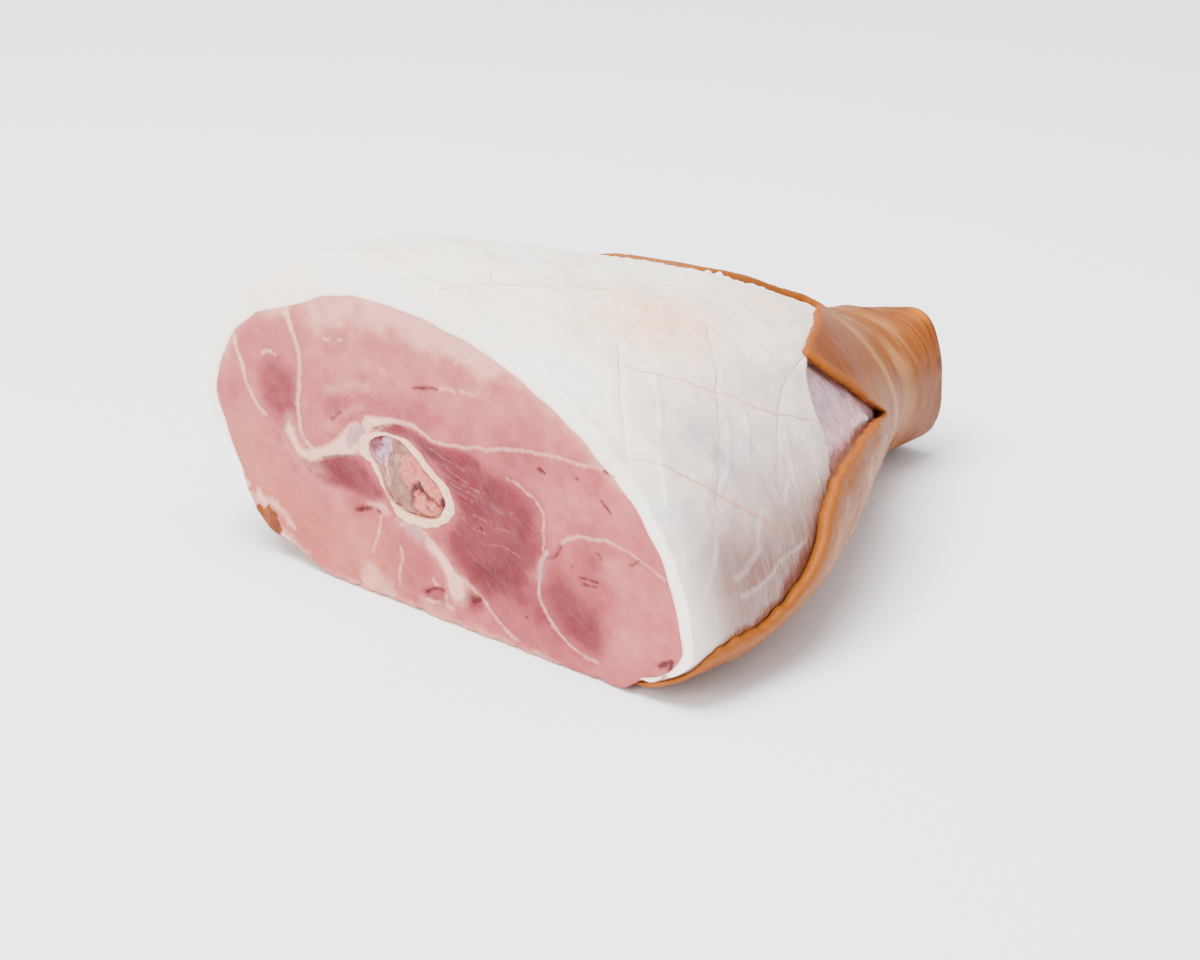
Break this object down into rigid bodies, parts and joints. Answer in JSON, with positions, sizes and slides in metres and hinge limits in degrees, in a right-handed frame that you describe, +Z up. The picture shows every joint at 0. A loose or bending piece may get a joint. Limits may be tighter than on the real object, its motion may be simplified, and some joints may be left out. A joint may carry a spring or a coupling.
{
  "type": "bone-in leg ham",
  "caption": "Bone-in leg ham, shank half, with a flat cut face that shows lean, fat and bone, a bare fat cap, and its skin left on the shank and underside",
  "frame": {"origin": "on the surface the ham lies on, under the middle of its bounding box", "axes": "+X from the cut face to the sawn shank, +Z up, +Y to the side away from the camera"},
  "size_m": [0.27, 0.2682, 0.1383],
  "materials": {
    "ham_fat": "moist matte",
    "lean_ham": "moist matte",
    "leg_bone": "sawn",
    "marrow": "moist matte",
    "sawn_shank_bone": "sawn",
    "shank_bone_marrow": "moist matte"
  },
  "bodies": {
    "root": {"fat_and_rind": "ham_fat", "lean_meat": "lean_ham", "femur": "leg_bone", "femur_marrow": "marrow", "shank_bone": "sawn_shank_bone", "shank_marrow": "shank_bone_marrow"}
  },
  "joints": []
}
